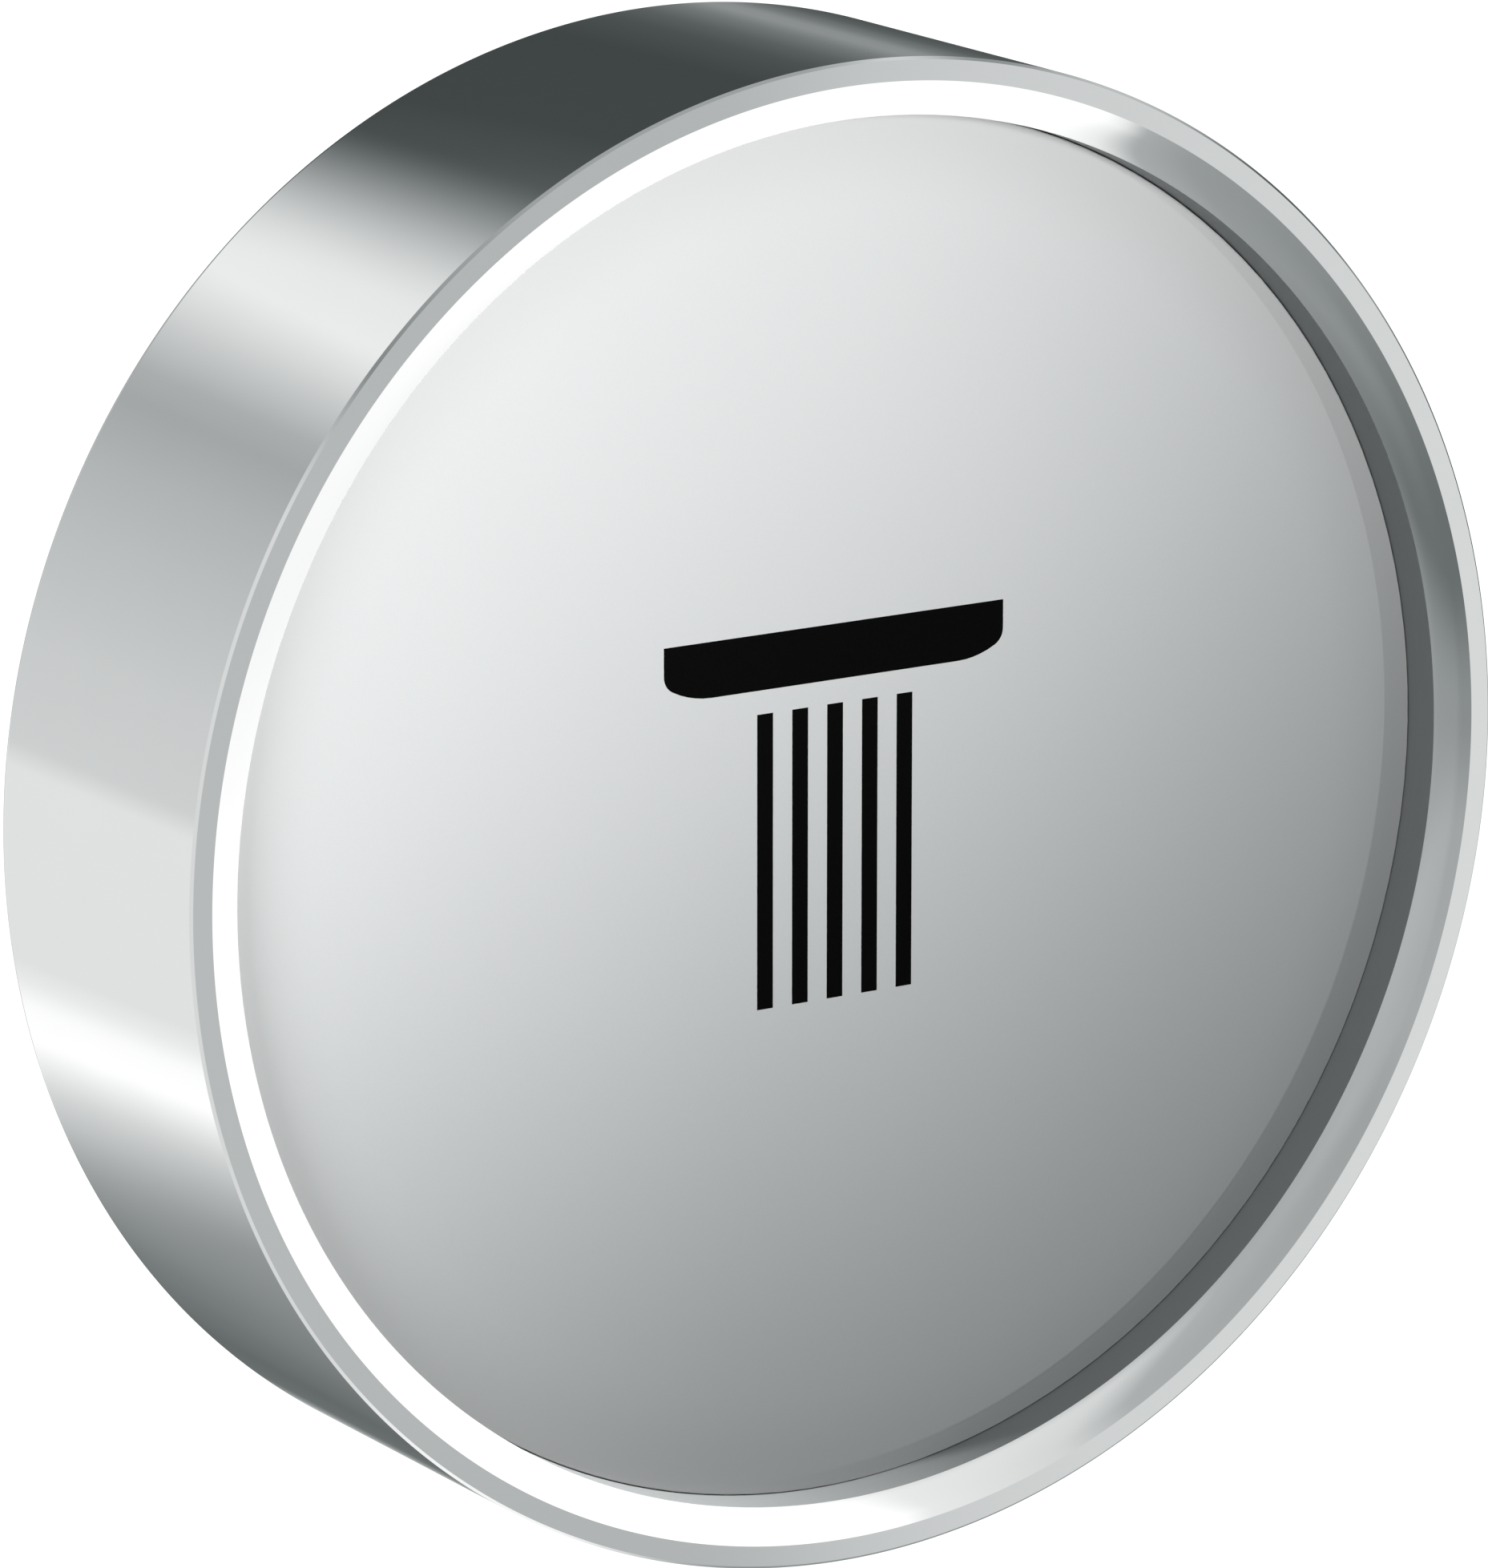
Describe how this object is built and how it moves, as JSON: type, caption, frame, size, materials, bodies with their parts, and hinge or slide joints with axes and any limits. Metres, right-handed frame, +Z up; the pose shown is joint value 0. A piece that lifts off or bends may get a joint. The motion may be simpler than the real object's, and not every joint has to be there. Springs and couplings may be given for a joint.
{
  "type": "shower push button",
  "caption": "Round wall-mounted push button: polished ring with a sunk satin disc carrying a hand-shower symbol, and a sprung, latching stem through a threaded neck.",
  "frame": {"origin": "centre of the bezel ring's rear face, which lies on the wall plate", "axes": "+Y along the turning axis into the wall, -Y out of the button's face towards the user, +Z up, +X to the right as the user sees the face"},
  "size_m": [0.05, 0.0385, 0.05],
  "materials": {
    "polished_chrome": "mirror polished plating",
    "satin_silver": "fine satin, thin clear lacquer",
    "symbol_black": "matte black fill with fine grain",
    "bond_film": "thin white adhesive film",
    "grey_moulding": "moulded, matte",
    "white_moulding": "self-lubricating plastic, matte",
    "black_rubber": "smooth moulded rubber",
    "turned_brass": "turned, bare",
    "stainless_steel": "turned or stamped, bright",
    "spring_steel": "drawn wire or rolled strip"
  },
  "bodies": {
    "housing": {"bezel_ring": "polished_chrome", "latch_leaf_spring": "spring_steel", "return_spring": "spring_steel", "base_plate": "turned_brass", "bezel_seal": "black_rubber", "guide_pins": "stainless_steel", "travel_bumper": "black_rubber", "guide_bush": "white_moulding", "stem_seal": "black_rubber", "rear_cap": "grey_moulding", "rear_bush": "white_moulding", "cap_circlip": "spring_steel", "panel_gasket": "black_rubber", "anti_twist_pin": "stainless_steel", "neck_washer": "stainless_steel", "lock_nut": "turned_brass"},
    "button": {"face_disc": "satin_silver", "symbol_inlay": "symbol_black", "disc_bond": "bond_film", "button_carrier": "grey_moulding", "carrier_bushes": "white_moulding", "disc_seal": "black_rubber", "stem": "stainless_steel", "stem_screw": "stainless_steel", "heart_cam": "white_moulding", "cam_pin": "stainless_steel", "retaining_clip": "spring_steel"},
    "latch": {"latch_pin": "spring_steel"}
  },
  "joints": [
    {"name": "press", "type": "slide", "parent": "housing", "child": "button", "axis": [0, 1, 0], "range_m": [0, 0.0025], "stiffness_N_per_m": 900, "springref_m": -0.003, "deforming": ["return_spring"]},
    {"name": "latch_swing", "type": "hinge", "parent": "housing", "child": "latch", "pos_m": [0, 0.01591, 0.005], "axis": [0, 0, 1], "range_deg": [0, 28.95]}
  ]
}
